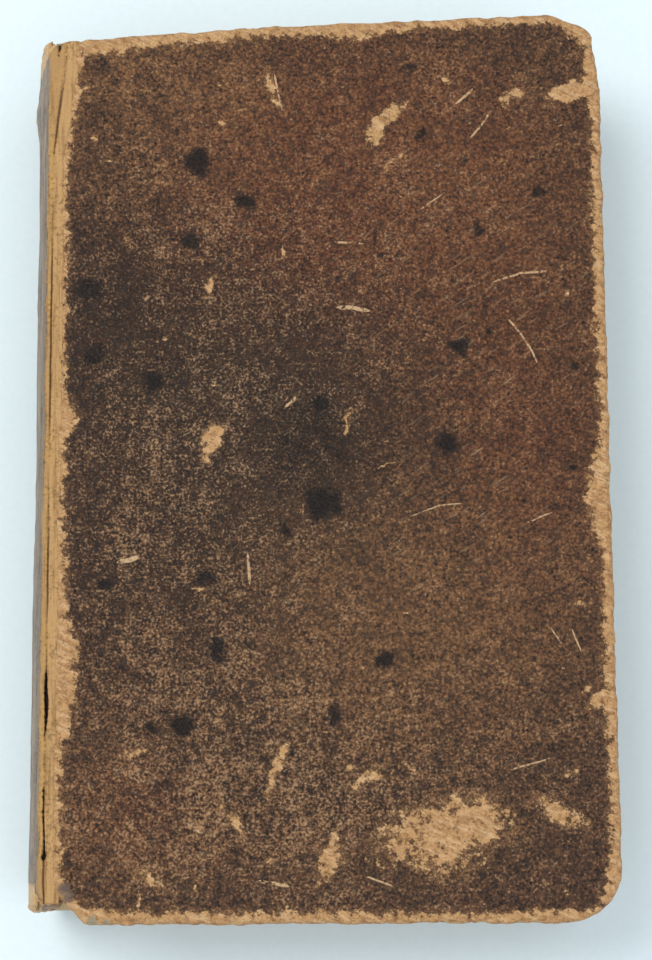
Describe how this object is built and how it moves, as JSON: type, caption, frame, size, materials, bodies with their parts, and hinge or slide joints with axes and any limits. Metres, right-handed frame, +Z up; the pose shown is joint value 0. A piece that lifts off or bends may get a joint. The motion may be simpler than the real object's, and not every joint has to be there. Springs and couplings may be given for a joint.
{
  "type": "prayer book",
  "caption": "Small leather-bound prayer book lying closed, with hinged covers, a rounded spine, endbands, sewn gatherings and leaves that turn.",
  "frame": {"origin": "middle of the underside of the closed book, lying on its back cover", "axes": "+X from the spine to the fore-edge, +Y to the head of the book, +Z up through the front cover"},
  "size_m": [0.1094, 0.172, 0.032],
  "materials": {
    "calf_leather": "old brown calf, rubbed to tan at the edges, satin",
    "hinge_leather": "rubbed tan calf at the joints, satin",
    "pasteboard": "grey-brown pasteboard, matt",
    "endpaper": "toned endpaper, matt",
    "lining_paper": "glued waste-paper lining, matt",
    "laid_paper": "aged rag paper, matt",
    "band_silk": "faded silk sewing, soft sheen",
    "hemp_cord": "hemp cord and linen thread, matt"
  },
  "bodies": {
    "back_cover": {"back_cover_leather": "calf_leather", "back_joint_leather": "hinge_leather", "back_board": "pasteboard", "back_cord_slips": "hemp_cord", "back_pastedown": "endpaper"},
    "text_block": {"spine_leather": "calf_leather", "spine_lining": "lining_paper", "head_cap": "calf_leather", "tail_cap": "calf_leather", "head_band": "band_silk", "tail_band": "band_silk", "head_band_core": "hemp_cord", "tail_band_core": "hemp_cord", "kettle_stitches": "hemp_cord", "back_gutter_folds": "laid_paper", "front_gutter_folds": "laid_paper", "sewing_cord_1": "hemp_cord", "sewing_cord_2": "hemp_cord", "sewing_cord_3": "hemp_cord", "sewing_cord_4": "hemp_cord", "sewing_cord_5": "hemp_cord", "gathering_01": "laid_paper", "gathering_02": "laid_paper", "gathering_03": "laid_paper", "gathering_04": "laid_paper", "gathering_05": "laid_paper", "gathering_06": "laid_paper", "gathering_07": "laid_paper", "gathering_08": "laid_paper", "gathering_09": "laid_paper", "gathering_10": "laid_paper", "gathering_11": "laid_paper", "gathering_12": "laid_paper"},
    "front_cover": {"front_cover_leather": "calf_leather", "front_joint_leather": "hinge_leather", "front_board": "pasteboard", "front_cord_slips": "hemp_cord", "front_pastedown": "endpaper"},
    "front_endpaper_leaf": {"front_free_endpaper": "endpaper"},
    "front_flyleaf_leaf": {"front_flyleaf": "laid_paper"},
    "opening_group_1": {"opening_leaves_1": "laid_paper"},
    "opening_group_2": {"opening_leaves_2": "laid_paper"},
    "back_flyleaf_leaf": {"back_flyleaf": "laid_paper"},
    "back_endpaper_leaf": {"back_free_endpaper": "endpaper"}
  },
  "joints": [
    {"name": "block_lift", "type": "hinge", "parent": "back_cover", "child": "text_block", "pos_m": [-0.05125, 0, 0], "axis": [0, -1, 0], "range_deg": [0, 40]},
    {"name": "front_cover_swing", "type": "hinge", "parent": "text_block", "child": "front_cover", "pos_m": [-0.05125, 0, 0.032], "axis": [0, -1, 0], "range_deg": [0, 150]},
    {"name": "front_endpaper_turn", "type": "hinge", "parent": "text_block", "child": "front_endpaper_leaf", "pos_m": [-0.05125, 0, 0.032], "axis": [0, -1, 0], "range_deg": [0, 135.5]},
    {"name": "front_flyleaf_turn", "type": "hinge", "parent": "text_block", "child": "front_flyleaf_leaf", "pos_m": [-0.05125, 0, 0.032], "axis": [0, -1, 0], "range_deg": [0, 120.5]},
    {"name": "opening_leaves_1_turn", "type": "hinge", "parent": "text_block", "child": "opening_group_1", "pos_m": [-0.05125, 0, 0.032], "axis": [0, -1, 0], "range_deg": [0, 90.5]},
    {"name": "opening_leaves_2_turn", "type": "hinge", "parent": "text_block", "child": "opening_group_2", "pos_m": [-0.05125, 0, 0.032], "axis": [0, -1, 0], "range_deg": [0, 53]},
    {"name": "back_flyleaf_turn", "type": "hinge", "parent": "back_cover", "child": "back_flyleaf_leaf", "pos_m": [-0.05125, 0, 0], "axis": [0, -1, 0], "range_deg": [0, 26.5]},
    {"name": "back_endpaper_turn", "type": "hinge", "parent": "back_cover", "child": "back_endpaper_leaf", "pos_m": [-0.05125, 0, 0], "axis": [0, -1, 0], "range_deg": [0, 12.5]}
  ],
  "couplings": [
    {"joint": "front_endpaper_turn", "follows": "front_cover_swing", "ratio": 0.9},
    {"joint": "front_flyleaf_turn", "follows": "front_cover_swing", "ratio": 0.8},
    {"joint": "opening_leaves_1_turn", "follows": "front_cover_swing", "ratio": 0.6},
    {"joint": "opening_leaves_2_turn", "follows": "front_cover_swing", "ratio": 0.35},
    {"joint": "back_flyleaf_turn", "follows": "block_lift", "ratio": 0.65},
    {"joint": "back_endpaper_turn", "follows": "block_lift", "ratio": 0.3}
  ]
}
